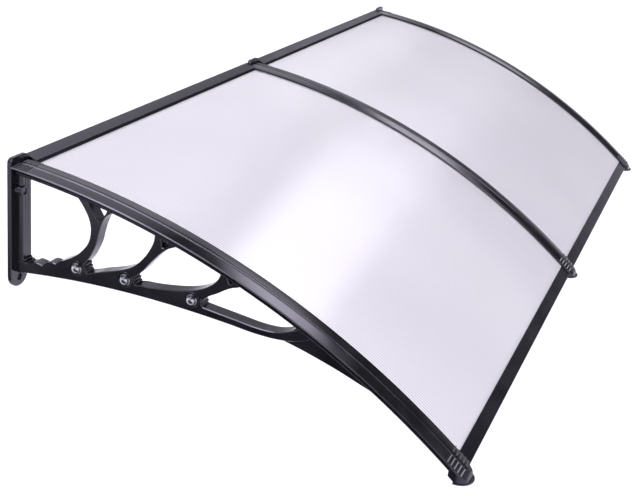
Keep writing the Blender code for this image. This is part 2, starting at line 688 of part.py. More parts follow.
def ring_mesh(name, outer_radius, hole_diameter, x_from, x_to):
    """A flat ring along X, its outer radius given for each angle, with a round hole."""
    bm = bmesh.new()
    rings = []
    for x in (x_from, x_to):
        for radius_at in (outer_radius, lambda angle: clear_round(hole_diameter, SIDES_RING) / 2):
            ring = []
            for i in range(SIDES_RING):
                angle = 2 * math.pi * i / SIDES_RING
                radius = radius_at(angle)
                ring.append(bm.verts.new((x, radius * math.cos(angle), radius * math.sin(angle))))
            rings.append(ring)
    outer_a, inner_a, outer_b, inner_b = rings
    for ring_a, ring_b in ((outer_a, outer_b), (outer_b, inner_b), (inner_b, inner_a), (inner_a, outer_a)):
        for i in range(SIDES_RING):
            j = (i + 1) % SIDES_RING
            bm.faces.new((ring_a[i], ring_a[j], ring_b[j], ring_b[i]))
    return new_mesh(name, bm)


def hexagon_radius(angle):
    """Distance from the middle of a nut to its outline at an angle."""
    return NUT_ACROSS_FLATS / 2 / math.cos(angle % (math.pi / 3) - math.pi / 6)


def screw_mesh(reach):
    """Press bar screw, driven up through the rib into the bar, head in its sink."""
    seat = RIB_UNDER + SCREW_SINK - FIT
    head = round_bar(SCREW_HEAD_DIAMETER * 0.8, screw_line(reach, seat - SCREW_HEAD_HEIGHT),
                     screw_line(reach, seat), SIDES_HOLE, SCREW_HEAD_DIAMETER)
    shank = round_bar(SCREW_DIAMETER, screw_line(reach, seat - SCREW_HEAD_HEIGHT / 2),
                      screw_line(reach, BAR_UNDER + SCREW_BITE), 8)
    return combined("press_bar_screw", head, additions=[shank])


def build():
    """Clear the scene and build the whole canopy."""
    for obj in list(bpy.data.objects):
        bpy.data.objects.remove(obj)

    black = finish("black_plastic", (0.018, 0.018, 0.020), 0.34)
    sheet_white = finish("opal_polycarbonate", (0.80, 0.79, 0.84), 0.22, transmission=0.35)
    anodised = finish("black_anodised_aluminium", (0.035, 0.036, 0.040), 0.32, metallic=0.7)
    steel = finish("plated_steel", (0.72, 0.72, 0.73), 0.18, metallic=1.0)
    rubber = finish("black_rubber", (0.012, 0.012, 0.012), 0.75)

    bracket = bracket_mesh()
    bar = press_bar_mesh()
    bolt = bolt_mesh()
    washer_left = -WEB_HALF_WIDTH - FIT - WASHER_THICKNESS
    washer = ring_mesh("washer", lambda angle: WASHER_DIAMETER / 2, BOLT_DIAMETER,
                       washer_left, washer_left + WASHER_THICKNESS)
    nut = ring_mesh("nut", hexagon_radius, BOLT_DIAMETER, WEB_HALF_WIDTH + FIT,
                    WEB_HALF_WIDTH + FIT + NUT_THICKNESS)
    screws = [screw_mesh(reach) for reach in bar_screw_reaches()]

    for side_name, side in BRACKETS:
        x = side * BRACKET_PITCH
        place("bracket_" + side_name, bracket, black, (x, 0, 0))
        place("press_bar_" + side_name, bar, black, (x, 0, 0))
        for number, (reach, z) in enumerate(under_arch(BOLT_PLACES), start=1):
            at = (x, -reach, z)
            place(f"bolt_{side_name}_{number}", bolt, steel, at)
            place(f"washer_{side_name}_{number}", washer, steel, at)
            place(f"nut_{side_name}_{number}", nut, steel, at)
        for number, screw in enumerate(screws, start=1):
            place(f"press_bar_screw_{side_name}_{number}", screw, steel, (x, 0, 0))

    sheet_inset = SPINE_HALF_WIDTH + 2 * FIT
    sheet = sheet_mesh(sheet_inset, BRACKET_PITCH - sheet_inset)
    rail_start = BAR_HALF_WIDTH + RAIL_END_GAP
    rear = new_mesh("rear_rail", side_prism(rear_rail_outline(), rail_start, BRACKET_PITCH - rail_start))
    front = new_mesh("front_rail", side_prism(front_rail_outline(), rail_start, BRACKET_PITCH - rail_start))
    for side_name, x in (("left", -BRACKET_PITCH), ("right", 0.0)):
        place("sheet_" + side_name, sheet, sheet_white, (x, 0, 0))
        place("rear_rail_" + side_name, rear, anodised, (x, 0, 0))
        place("front_rail_" + side_name, front, anodised, (x, 0, 0))

    right_of_bar, left_of_bar = gasket_mesh(1), gasket_mesh(-1)
    place("gasket_left", right_of_bar, rubber, (-BRACKET_PITCH, 0, 0))
    place("gasket_middle_left", left_of_bar, rubber)
    place("gasket_middle_right", right_of_bar, rubber)
    place("gasket_right", left_of_bar, rubber, (BRACKET_PITCH, 0, 0))


build()
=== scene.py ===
import math

import bmesh
import bpy
from mathutils import Matrix, Vector


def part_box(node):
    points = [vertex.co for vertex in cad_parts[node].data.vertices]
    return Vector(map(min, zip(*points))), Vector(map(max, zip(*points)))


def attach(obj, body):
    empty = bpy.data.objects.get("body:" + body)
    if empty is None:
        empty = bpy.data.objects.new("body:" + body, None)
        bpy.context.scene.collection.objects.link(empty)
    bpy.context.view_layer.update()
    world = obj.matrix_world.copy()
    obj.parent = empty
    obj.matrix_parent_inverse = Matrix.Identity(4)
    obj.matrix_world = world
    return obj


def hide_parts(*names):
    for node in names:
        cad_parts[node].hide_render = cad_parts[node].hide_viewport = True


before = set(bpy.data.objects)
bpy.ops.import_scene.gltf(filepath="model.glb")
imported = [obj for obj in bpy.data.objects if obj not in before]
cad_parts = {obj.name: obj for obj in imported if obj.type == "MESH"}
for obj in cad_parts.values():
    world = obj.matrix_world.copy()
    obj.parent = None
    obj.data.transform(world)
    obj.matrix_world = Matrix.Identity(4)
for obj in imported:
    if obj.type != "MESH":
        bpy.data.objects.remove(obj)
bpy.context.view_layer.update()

MM = 0.001

# The arch, an arc about a line behind the wall, as in the part
ARCH_RADIUS = 1.600
ARCH_TILT = math.radians(2.665)
ARCH_Y = ARCH_RADIUS * math.sin(ARCH_TILT)
ARCH_Z = -ARCH_RADIUS * math.cos(ARCH_TILT)
BAR_REACH = 0.9050
END_MARGIN = 0.0024
ARCH_STEPS = 56
TURN_STEPS = 40
CLEARANCE = 0.0003

# Heights of each layer above the arch line
BAR_UNDER = -0.0044
GASKET_TOP = -0.0047
GASKET_UNDER = -0.0061
SHEET_TOP = -0.0064
SHEET_UNDER = -0.0114
FLANGE_TOP = -0.0117
FLANGE_UNDER = -0.0145
RIB_UNDER = -0.0190

# Top of the press bar: a narrow crown, with a half that slopes off on each side
CROWN_HALF_WIDTH = 0.0032
CROWN_HEIGHT = 0.0006
BAR_SLOPE = 0.0022 / 0.0233

BRACKET_PLACES = {"left": -0.970, "middle": 0.0, "right": 0.970}
SHEET_PLACES = {"left": -0.485, "right": 0.485}
SHEET_HALF_WIDTH = 0.4809
PLATE_THICKNESS = 0.0090
POST_FRONT = 0.0260
WEB_HALF = 0.0130
WASHER_THICKNESS = 0.0016

# Wall screws as x and z, and cross bolts as reach and z in mm
LOWER_SCREW = (0.0, -0.229)
UPPER_SCREW = (-0.0094, -0.049)
BOLT_PLACES = ((143.1, -169.7), (244.7, -163.6), (379.8, -164.3))


# Colour and materials

def linear(code):
    """A colour given as sRGB hex, in the linear values that shaders take."""
    channels = []
    for i in (0, 2, 4):
        part = int(code[i:i + 2], 16) / 255
        channels.append(part / 12.92 if part <= 0.04045 else ((part + 0.055) / 1.055) ** 2.4)
    return (*channels, 1.0)


def add_node(tree, kind, settings=None, **links):
    """Adds a node, sets its properties and inputs, and links sockets to its inputs. An input is
    given by its name or its number, and by i and its number where it is linked."""
    node = tree.nodes.new(kind)
    for name, value in (settings or {}).items():
        if hasattr(node, name):
            setattr(node, name, value)
        else:
            node.inputs[int(name) if name.isdigit() else name].default_value = value
    for name, source in links.items():
        numbered = name[0] == "i" and name[1:].isdigit()
        tree.links.new(source, node.inputs[int(name[1:]) if numbered else name])
    return node


def new_material(name, settings):
    """A material with one Principled shader, and its node tree."""
    material = bpy.data.materials.new(name)
    material.use_nodes = True
    tree = material.node_tree
    shader = tree.nodes["Principled BSDF"]
    for socket, value in settings.items():
        shader.inputs[socket].default_value = value
    return material, tree, shader


def ramp(tree, source, stops):
    """A colour ramp with the given places and colours."""
    node = add_node(tree, "ShaderNodeValToRGB")
    tree.links.new(source, node.inputs["Fac"])
    band = node.color_ramp
    while len(band.elements) < len(stops):
        band.elements.new(0.5)
    for element, (place, colour) in zip(band.elements, stops):
        element.position = place
        element.color = linear(colour)
    return node.outputs["Color"]


def noise(tree, place, size, detail):
    """Cloudy pattern with clouds of about this size in metres."""
    settings = {"Scale": 1 / size, "Detail": detail}
    return add_node(tree, "ShaderNodeTexNoise", settings, Vector=place).outputs["Fac"]


def colour_by(tree, shader, source, stops):
    """Lets the source choose the base colour from a ramp."""
    tree.links.new(ramp(tree, source, stops), shader.inputs["Base Color"])


def roughness_by(tree, shader, source, low, high, start=0.0, end=1.0):
    """Takes the roughness from low to high while the source goes from start to end."""
    gloss = add_node(tree, "ShaderNodeMapRange",
                     {"From Min": start, "From Max": end, "To Min": low, "To Max": high}, Value=source)
    tree.links.new(gloss.outputs["Result"], shader.inputs["Roughness"])


def bump_by(tree, shader, source, strength, depth):
    """Makes the source a fine relief of this depth in metres."""
    bump = add_node(tree, "ShaderNodeBump", {"Strength": strength, "Distance": depth}, Height=source)
    tree.links.new(bump.outputs["Normal"], shader.inputs["Normal"])


def moulded_black_abs():
    """Injection moulded ABS: deep black with a soft satin sheen, its light edges blurred by
    a fine spark-eroded grain, and a faint unevenness where the plastic cooled."""
    material, tree, shader = new_material("injection_moulded_black_abs",
                                          {"IOR": 1.54, "Specular Tint": linear("f2edff")})
    place = add_node(tree, "ShaderNodeTexCoord").outputs["Object"]
    # Grain of about 0.9 mm, coarser than the real 0.1 mm so that it shows
    grain = noise(tree, place, 0.9 * MM, 2.0)
    # Flow marks some 60 mm across
    flow = noise(tree, place, 60 * MM, 3.0)
    colour_by(tree, shader, flow, [(0.3, "0b0b0d"), (0.7, "121215")])
    roughness_by(tree, shader, flow, 0.15, 0.24, 0.3, 0.7)
    bump_by(tree, shader, grain, 0.12, 0.1 * MM)
    return material


def black_anodised_aluminium():
    """Extruded aluminium, black anodised: near-black with a silky sheen, and hair-fine die lines
    along the extrusion, which lies along x."""
    material, tree, shader = new_material("black_anodised_rail_aluminium", {
        "Metallic": 0.2, "Specular IOR Level": 1.0, "Specular Tint": linear("f2edff")})
    place = add_node(tree, "ShaderNodeTexCoord").outputs["Object"]
    along = add_node(tree, "ShaderNodeMapping", {"Scale": (0.01, 1.0, 1.0)}, Vector=place)
    # Die lines some 0.8 mm apart, wider than the real 0.1 mm so that they show
    lines = noise(tree, along.outputs["Vector"], 0.8 * MM, 2.0)
    clouds = noise(tree, place, 90 * MM, 2.0)
    colour_by(tree, shader, lines, [(0.3, "0f0f12"), (0.7, "18181c")])
    roughness_by(tree, shader, clouds, 0.15, 0.22, 0.3, 0.7)
    bump_by(tree, shader, lines, 0.1, 0.05 * MM)
    return material


def opal_polycarbonate():
    """Extruded twin-wall polycarbonate, opal: milky white with a cool lilac cast, glossy skins, and
    the inner ribs that run from wall to front as fine pale stripes."""
    material, tree, shader = new_material("extruded_opal_polycarbonate", {
        "IOR": 1.49, "Roughness": 0.38, "Transmission Weight": 0.45, "Specular IOR Level": 0.3,
        "Coat Weight": 0.8, "Coat Roughness": 0.10, "Coat IOR": 1.5})
    place = add_node(tree, "ShaderNodeTexCoord").outputs["Object"]
    # A Wave texture in bands makes one band per 2 pi / 20 of its coordinate
    rib_pitch = 7.0 * MM
    ribs = add_node(tree, "ShaderNodeTexWave",
                    {"wave_type": "BANDS", "bands_direction": "X", "Distortion": 0.0,
                     "Scale": 2 * math.pi / (20 * rib_pitch)}, Vector=place).outputs["Fac"]
    body = ramp(tree, noise(tree, place, 420 * MM, 1.0), [(0.35, "e0dedf"), (0.65, "e6e5e5")])
    stripe = ramp(tree, ribs, [(0.0, "bdb9c8"), (0.4, "ffffff")])
    mixed = add_node(tree, "ShaderNodeMix", {"data_type": "RGBA", "blend_type": "MULTIPLY", "0": 0.7},
                     i6=body, i7=stripe)
    tree.links.new(mixed.outputs[2], shader.inputs["Base Color"])
    bump_by(tree, shader, ribs, 0.15, 0.1 * MM)
    return material


def plated_steel():
    """Zinc plated steel, passivated bright: a cool mirror with faint blue and yellow clouds and
    tiny turning marks."""
    material, tree, shader = new_material("bright_zinc_plated_steel", {"Metallic": 1.0})
    place = add_node(tree, "ShaderNodeTexCoord").outputs["Object"]
    clouds = noise(tree, place, 9 * MM, 3.0)
    colour_by(tree, shader, clouds, [(0.3, "8f959f"), (0.6, "b4b5b6")])
    roughness_by(tree, shader, clouds, 0.06, 0.14)
    bump_by(tree, shader, noise(tree, place, 0.5 * MM, 1.0), 0.08, 0.05 * MM)
    return material


def black_rubber():
    """Extruded EPDM rubber: matt charcoal black, slightly dusty."""
    material, tree, shader = new_material("extruded_epdm_rubber",
                                          {"IOR": 1.5, "Specular IOR Level": 0.35})
    place = add_node(tree, "ShaderNodeTexCoord").outputs["Object"]
    dust = noise(tree, place, 4 * MM, 4.0)
    colour_by(tree, shader, dust, [(0.35, "141414"), (0.7, "202022")])
    roughness_by(tree, shader, dust, 0.6, 0.85)
    return material


ABS = moulded_black_abs()
ALUMINIUM = black_anodised_aluminium()
OPAL = opal_polycarbonate()
STEEL = plated_steel()
RUBBER = black_rubber()


# Ways of making shapes

def arch_angle(reach):
    """Turn from the top of the arch circle to a point at this distance from the wall."""
    return math.asin((reach + ARCH_Y) / ARCH_RADIUS)


BAR_START = arch_angle(PLATE_THICKNESS + CLEARANCE)
BAR_END = arch_angle(BAR_REACH)
SHEET_START = arch_angle(PLATE_THICKNESS + 4 * CLEARANCE)
SHEET_END = BAR_END - 2 * END_MARGIN / ARCH_RADIUS


def arch_point(angle, height=0.0):
    """Reach and z on the arch at this angle, height above the arch line."""
    radius = ARCH_RADIUS + height
    return radius * math.sin(angle) - ARCH_Y, radius * math.cos(angle) + ARCH_Z


def turn_along_arch(angle):
    """Moves what is drawn at the top of the arch circle to this angle."""
    centre = Vector((0.0, ARCH_Y, ARCH_Z))
    return Matrix.Translation(centre) @ Matrix.Rotation(angle, 4, "X") @ Matrix.Translation(-centre)


def flat_face(bm, points):
    """Adds one face through the points."""
    return bm.faces.new([bm.verts.new(point) for point in points])


def round_corners(bm, verts, width, segments):
    """Rounds the given corners of a flat face."""
    bmesh.ops.bevel(bm, geom=verts, offset=width, affect="VERTICES", segments=segments,
                    profile=0.5, material=-1)


def soften(bm, width, segments, angle):
    """Rounds the edges of a shape whose faces meet at more than this angle, in degrees."""
    bmesh.ops.recalc_face_normals(bm, faces=bm.faces)
    edges = [edge for edge in bm.edges if edge.is_manifold
             and edge.calc_face_angle() > math.radians(angle)]
    bmesh.ops.bevel(bm, geom=edges, offset=width, offset_type="OFFSET", affect="EDGES",
                    segments=segments, profile=0.5, material=-1, clamp_overlap=True)


def extrude(bm, vector):
    """Extrudes a flat face into a closed block."""
    made = bmesh.ops.extrude_face_region(bm, geom=bm.faces[:])
    moved = [item for item in made["geom"] if isinstance(item, bmesh.types.BMVert)]
    bmesh.ops.translate(bm, verts=moved, vec=vector)


def spin(bm, centre, axis, angle, steps, merge):
    """Turns all that is drawn about a line, and leaves a skin behind it."""
    bmesh.ops.spin(bm, geom=bm.verts[:] + bm.edges[:] + bm.faces[:], cent=centre, axis=axis,
                   angle=angle, steps=steps, use_merge=merge, use_normal_flip=False,
                   use_duplicate=False)


def arch_profile(points, start, end, rounding=0.0):
    """Sweeps a profile of x and height along the arch from angle start to end."""
    bm = bmesh.new()
    face = flat_face(bm, [(x, ARCH_Y, ARCH_Z + ARCH_RADIUS + height) for x, height in points])
    if rounding:
        round_corners(bm, list(face.verts), rounding, 3)
    bmesh.ops.transform(bm, matrix=turn_along_arch(start), verts=bm.verts)
    spin(bm, (0.0, ARCH_Y, ARCH_Z), (1.0, 0.0, 0.0), end - start, ARCH_STEPS, merge=False)
    bmesh.ops.recalc_face_normals(bm, faces=bm.faces)
    return bm


def mirrored(points):
    """Both halves of an outline from its right half, given from below upwards."""
    return list(points) + [(-x, height) for x, height in reversed(points) if x > 1e-6]


def turned_along_x(points, x_shift=0.0, reach=0.0, z=0.0, segments=TURN_STEPS):
    """Turns a closed profile of x and radius about a line along x."""
    bm = bmesh.new()
    flat_face(bm, [(x + x_shift, -reach, z + radius) for x, radius in points])
    spin(bm, (0.0, -reach, z), (1.0, 0.0, 0.0), 2 * math.pi, segments, merge=True)
    return closed(bm)


def turned_along_y(points, x, z):
    """Turns a closed profile of reach and radius about a line that comes out of the wall."""
    bm = bmesh.new()
    flat_face(bm, [(x, -reach, z + radius) for reach, radius in points])
    spin(bm, (x, 0.0, z), (0.0, 1.0, 0.0), 2 * math.pi, TURN_STEPS, merge=True)
    return closed(bm)


def round_bar(sides, radius, length, centre):
    """A round or many-sided bar along x."""
    bm = bmesh.new()
    bmesh.ops.create_cone(bm, cap_ends=True, segments=sides, radius1=radius, radius2=radius,
                          depth=length,
                          matrix=Matrix.Translation(centre) @ Matrix.Rotation(math.pi / 2, 4, "Y"))
    return bm


def closed(bm):
    """Merges doubles, takes off what a full turn leaves inside, and turns the faces outwards."""
    bmesh.ops.remove_doubles(bm, verts=bm.verts, dist=1e-6)
    inner = [face for face in bm.faces if any(len(edge.link_faces) > 2 for edge in face.edges)
             and all(len(edge.link_faces) > 2 for edge in face.edges)]
    bmesh.ops.delete(bm, geom=inner, context="FACES_ONLY")
    bmesh.ops.recalc_face_normals(bm, faces=bm.faces)
    return bm


def smooth_outline(spline, points):
    """Sets a closed curve through the points, in mm. A point with a third value is a corner,
    rounded by that radius."""
    count = len(points)
    knots = []
    for i, point in enumerate(points):
        here = Vector(point[:2]) * MM
        if len(point) < 3:
            knots.append((here, None, None))
            continue
        radius = point[2] * MM
        if not radius:
            knots.append((here, "corner", "corner"))
            continue
        before = (Vector(points[i - 1][:2]) * MM - here).normalized()
        after = (Vector(points[(i + 1) % count][:2]) * MM - here).normalized()
        cut = radius / math.tan(before.angle(after) / 2)
        knots.append((here + before * cut, "corner", here + before * cut * 0.45))
        knots.append((here + after * cut, here + after * cut * 0.45, "corner"))
    spline.bezier_points.add(len(knots) - 1)
    for knot, (place, left, right) in zip(spline.bezier_points, knots):
        knot.co = (*place, 0.0)
        if left is None:
            knot.handle_left_type = knot.handle_right_type = "AUTO"
            continue
        for side, handle in (("left", left), ("right", right)):
            if handle == "corner":
                setattr(knot, "handle_" + side + "_type", "VECTOR")
            else:
                setattr(knot, "handle_" + side + "_type", "FREE")
                setattr(knot, "handle_" + side, (*handle, 0.0))
    spline.use_cyclic_u = True


def finished_shape(obj):
    """The shape of an object with its modifiers or its curve settings applied."""
    ready = obj.evaluated_get(bpy.context.evaluated_depsgraph_get())
    mesh = bpy.data.meshes.new_from_object(ready)
    bm = bmesh.new()
    bm.from_mesh(mesh)
    bpy.data.meshes.remove(mesh)
    return bm


def flat_moulding(outlines, half_thickness, rim):
    """A slab between -x and +x from outlines of reach and z, with chamfered rims. Outlines
    inside the first one are openings."""
    curve = bpy.data.curves.new("outline", "CURVE")
    curve.dimensions = "2D"
    curve.fill_mode = "BOTH"
    curve.resolution_u = 6
    curve.extrude = half_thickness - rim
    curve.bevel_depth = rim
    curve.bevel_resolution = 0
    curve.offset = -rim
    for points in outlines:
        smooth_outline(curve.splines.new("BEZIER"), points)
    holder = bpy.data.objects.new("outline", curve)
    bpy.context.scene.collection.objects.link(holder)
    bpy.context.view_layer.update()
    bm = finished_shape(holder)
    bpy.data.objects.remove(holder)
    bmesh.ops.remove_doubles(bm, verts=bm.verts, dist=1e-6)
    # The curve's own axes become reach out of the wall, z up, and thickness across
    turned = Matrix(((0, 0, -1, 0), (-1, 0, 0, 0), (0, 1, 0, 0), (0, 0, 0, 1)))
    bmesh.ops.transform(bm, matrix=turned, verts=bm.verts)
    bmesh.ops.recalc_face_normals(bm, faces=bm.faces)
    return bm


def joined(shapes):
    """One shape from several, which are used up."""
    whole = bmesh.new()
    for shape in shapes:
        part = bpy.data.meshes.new("part")
        shape.to_mesh(part)
        shape.free()
        whole.from_mesh(part)
        bpy.data.meshes.remove(part)
    return whole


def to_mesh(name, shapes):
    """One smoothly shaded mesh from several closed shapes, sharp where faces meet at over 30
    degrees."""
    mesh = bpy.data.meshes.new(name)
    whole = joined(shapes)
    whole.to_mesh(mesh)
    whole.free()
    mesh.shade_smooth()
    mesh.set_sharp_from_angle(angle=math.radians(30.0))
    return mesh


def piece(name, mesh, material, replaced, shift=0.0):
    """Puts a mesh in the scene as a finished piece that stands for CAD nodes."""
    own = mesh.copy()
    own.name = name
    own.transform(Matrix.Translation((shift, 0.0, 0.0)))
    own.materials.clear()
    own.materials.append(material)
    obj = bpy.data.objects.new(name, own)
    bpy.context.scene.collection.objects.link(obj)
    obj.modifiers.new("true_flats", "WEIGHTED_NORMAL").keep_sharp = True
    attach(obj, "root")
    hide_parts(*replaced)


# Press bar

def bar_skin(x):
    """Height of the press bar's sloping top at this distance from its middle line."""
    return CROWN_HEIGHT - (x - CROWN_HALF_WIDTH) * BAR_SLOPE


def press_bar():
    """Low gabled extrusion with a bead along its crown between two grooves."""
    half = [(0.0280, BAR_UNDER), (0.0280, -0.0034), (0.0262, bar_skin(0.0262)),
            (0.0200, bar_skin(0.0200) + 0.0002), (0.0110, bar_skin(0.0110) + 0.0002),
            (0.0046, bar_skin(0.0046)), (0.0040, -0.0006), (0.0030, -0.0008), (0.0025, -0.0002),
            (0.0012, 0.0011), (0.0, 0.0011)]
    return [arch_profile(mirrored(half), BAR_START, BAR_END)] + grip_ribs()


def grip_ribs():
    """Wedge-shaped ribs across both halves of the bar, near each of its ends."""
    ribs = []
    width, low, high, sink = 0.0030, 0.0004, 0.0020, 0.0008
    inner, outer = 0.0045, 0.0265
    wall_pitch, front_pitch = 0.0055, 0.0082
    # Ribs near the wall slope down to the front, the steeper ones near the front slope to the wall
    places = [(BAR_START + (END_MARGIN + wall_pitch * i) / ARCH_RADIUS, 0.7 * high, low)
              for i in range(6)]
    places += [(BAR_END - (END_MARGIN + width + front_pitch * i) / ARCH_RADIUS, low, high)
               for i in range(5)]
    for angle, near, far in places:
        for side in (1, -1):
            rib = bmesh.new()
            flat_face(rib, [(side * inner, y, z) for y, z in (
                (0.0, -sink), (-width, -sink), (-width, far), (0.0, near))])
            extrude(rib, (side * (outer - inner), 0.0, 0.0))
            for vert in rib.verts:
                vert.co.z += bar_skin(abs(vert.co.x))
            soften(rib, 0.0005, 2, 60.0)
            top = Matrix.Translation((0.0, ARCH_Y, ARCH_Z + ARCH_RADIUS))
            bmesh.ops.transform(rib, matrix=turn_along_arch(angle) @ top, verts=rib.verts)
            bmesh.ops.recalc_face_normals(rib, faces=rib.faces)
            ribs.append(rib)
    return ribs


# Bracket

def underarch(reach_from, reach_to, height, step=22.0):
    """Points along the arch at one height, in mm, from one reach to the other."""
    count = max(2, int(abs(reach_to - reach_from) / step) + 1)
    points = []
    for i in range(count + 1):
        reach = (reach_from + (reach_to - reach_from) * i / count) * MM
        out, z = arch_point(arch_angle(reach), height)
        points.append((out / MM, z / MM))
    return points


def corners(points):
    """Marks the first and last point as sharp corners."""
    return [(*points[0], 0.0)] + points[1:-1] + [(*points[-1], 0.0)]


def open_web():
    """The arm with its three crescents, one slab with openings."""
    seam = FLANGE_TOP - 0.0008
    roof = RIB_UNDER + 0.0012
    outer = corners(underarch(6.0, 618.0, seam, 40.0)) + [
        (606.0, -174.0), (582.0, -185.0), (554.0, -191.0), (512.0, -193.5), (450.0, -190.3),
        (380.0, -187.9), (290.0, -187.9), (230.0, -190.2), (169.0, -194.4), (110.0, -200.4),
        (34.0, -210.8), (12.0, -214.6, 5.0), (3.6, -212.1, 0.0)]
    bay_one = ([(26.0, -189.2, 0.0), (33.0, -190.2), (42.0, -188.4), (49.8, -184.0), (58.0, -183.6),
                (68.8, -185.2, 2.0), (74.0, -180.2), (83.4, -173.8), (90.0, -172.8), (98.1, -173.6, 2.0),
                (106.0, -167.0), (119.9, -159.2), (137.0, -148.0), (152.8, -132.5), (164.8, -114.0),
                (169.3, -93.6), (166.7, -71.9), (155.2, -50.1), (141.5, -33.0, 0.0)]
               + corners(underarch(135.0, 26.0, roof)))
    bay_two = ([(213.0, -43.8, 0.0), (200.0, -55.0), (192.5, -70.0), (187.0, -89.8), (181.8, -113.0),
                (173.2, -134.0), (166.0, -147.3), (156.6, -160.0, 1.5), (162.4, -175.2, 2.5),
                (175.5, -170.6), (193.0, -163.4), (212.0, -156.6), (243.0, -143.8), (262.0, -132.0),
                (281.0, -110.0), (292.0, -90.7), (298.0, -74.4), (299.0, -63.0, 0.0)]
               + corners(underarch(300.0, 218.0, roof)))
    bay_three = ([(340.0, -75.3, 0.0), (326.0, -83.0), (313.0, -95.0), (302.0, -108.0),
                  (291.5, -121.5), (279.0, -138.0), (268.0, -149.0), (259.6, -156.5, 1.5),
                  (264.2, -169.4, 2.5), (276.0, -166.8), (302.0, -164.0), (330.0, -159.2),
                  (362.0, -152.0), (390.0, -142.0), (411.5, -129.0), (424.7, -115.5),
                  (430.5, -102.5, 0.0)] + corners(underarch(432.5, 349.0, roof)))
    bay_four = ([(464.0, -117.2, 0.0), (452.0, -122.0), (440.0, -129.5), (428.0, -138.5),
                 (410.0, -149.8), (397.2, -159.4, 1.5), (400.2, -172.4, 2.5), (412.0, -173.6),
                 (438.0, -175.6), (470.0, -178.0), (503.0, -180.5), (530.0, -180.0),
                 (550.0, -176.8), (570.0, -168.6), (588.0, -159.0, 0.0)]
                + corners(underarch(594.0, 478.0, roof, 30.0)))
    # The small openings where each crescent forks under the arch
    eye_one = [(165.0, -40.2, 0.0), (174.5, -53.7), (183.0, -66.5, 2.0), (188.5, -65.0, 2.0),
               (193.0, -58.0), (199.0, -49.8, 0.0)] + corners(underarch(206.0, 163.5, roof))
    eye_two = [(314.5, -76.0, 0.0), (314.8, -82.5, 1.0), (318.5, -82.5, 1.0),
               (327.5, -75.0, 0.0)] + corners(underarch(331.0, 316.0, roof))
    eye_three = [(447.5, -112.5, 0.0), (449.5, -115.0, 0.8),
                 (454.5, -112.0, 0.0)] + corners(underarch(456.5, 449.0, roof, 4.0))
    outlines = [outer, bay_one, bay_two, bay_three, bay_four, eye_one, eye_two, eye_three]
    return flat_moulding(outlines, half_thickness=WEB_HALF, rim=0.0014)


def front_web():
    """The thinner web that carries the line of the arm on to the arch."""
    low = [(548.0, -187.3, 0.0), (556.0, -192.2), (573.0, -196.1), (592.0, -200.2), (630.0, -209.7),
           (668.0, -220.4), (698.0, -230.2), (731.6, -241.0, 0.0)]
    top = corners(underarch(750.0, 590.0, FLANGE_UNDER - 0.0015, 40.0))
    return flat_moulding([low + top], half_thickness=0.0085, rim=0.0012)


def arch_rib():
    """T-shaped arch under the sheets, with the spine that stands between them."""
    half = [(0.0142, RIB_UNDER), (0.0130, FLANGE_UNDER - 0.0012), (0.0138, FLANGE_UNDER),
            (0.0180, FLANGE_UNDER), (0.0162, FLANGE_TOP), (0.0035, FLANGE_TOP),
            (0.0035, BAR_UNDER - CLEARANCE)]
    return arch_profile(mirrored(half), arch_angle(PLATE_THICKNESS / 2), SHEET_END, rounding=0.0004)


def wall_plate():
    """Plate against the wall, half round below, with a sunk screw hole and the tube's hole."""
    def ring(centre, radius):
        x, z = centre
        return [((x + radius * math.cos(turn)) / MM, (z + radius * math.sin(turn)) / MM)
                for turn in (i * math.pi / 4 for i in range(8))]

    outline = [(26.0, 12.0, 10.0), (26.0, -248.0, 25.9), (-26.0, -248.0, 25.9), (-26.0, 12.0, 10.0)]
    bm = flat_moulding([outline, ring(LOWER_SCREW, 0.00675), ring(UPPER_SCREW, 0.0055)],
                       half_thickness=PLATE_THICKNESS / 2, rim=0.0012)
    # Drawn as a slab across x, turned to lie flat against the wall
    quarter = Matrix.Rotation(math.radians(90), 4, "Z")
    bmesh.ops.transform(bm, matrix=Matrix.Translation((0.0, -PLATE_THICKNESS / 2, 0.0)) @ quarter,
                        verts=bm.verts)
    seat = turned_along_y([(0.0006, 0.00425), (0.0050, 0.00425), (0.0050, 0.0074), (0.0006, 0.0074)],
                          *LOWER_SCREW)
    return [bm, seat]


def upright_block(half, low, high):
    """A block from one height to another, from the right half of its plan in x and reach."""
    bm = bmesh.new()
    plan = half + [(-x, reach) for x, reach in reversed(half)]
    flat_face(bm, [(x, -reach, low) for x, reach in plan])
    extrude(bm, (0.0, 0.0, high - low))
    return bm


def post():
    """Post from the foot to the arch, narrower in front, with two fine beads down its front."""
    face, foot, head = POST_FRONT - 0.0010, -0.2000, -0.0185
    half = [(0.0110, 0.0045), (0.0110, 0.0115), (0.0096, 0.0140), (0.0082, 0.0235), (0.0070, face),
            (0.0044, face), (0.0040, POST_FRONT), (0.0028, POST_FRONT), (0.0024, face)]
    bm = upright_block(half, foot, head)
    soften(bm, 0.0004, 2, 20.0)
    return bm


def stepped_collar():
    """Two thick steps round the foot of the post."""
    steps = []
    back, chamfer = 0.0050, 0.0020
    for low, high, half, reach in ((-0.1940, -0.1885, 0.0140, 0.0350),
                                   (-0.1885, -0.1840, 0.0122, 0.0305)):
        bm = upright_block([(half, back), (half, reach - chamfer), (half - chamfer, reach)], low, high)
        soften(bm, 0.0012, 3, 25.0)
        steps.append(bm)
    return steps


def screw_tube():
    """Tube that the upper wall screw goes through."""
    front = POST_FRONT + 0.0015
    return turned_along_y([(0.0005, 0.0103), (0.0005, 0.0053), (0.0110, 0.0053), (0.0120, 0.0065),
                           (front - 0.0006, 0.0065), (front, 0.0071), (front, 0.0095),
                           (front - 0.0008, 0.0103)], *UPPER_SCREW)


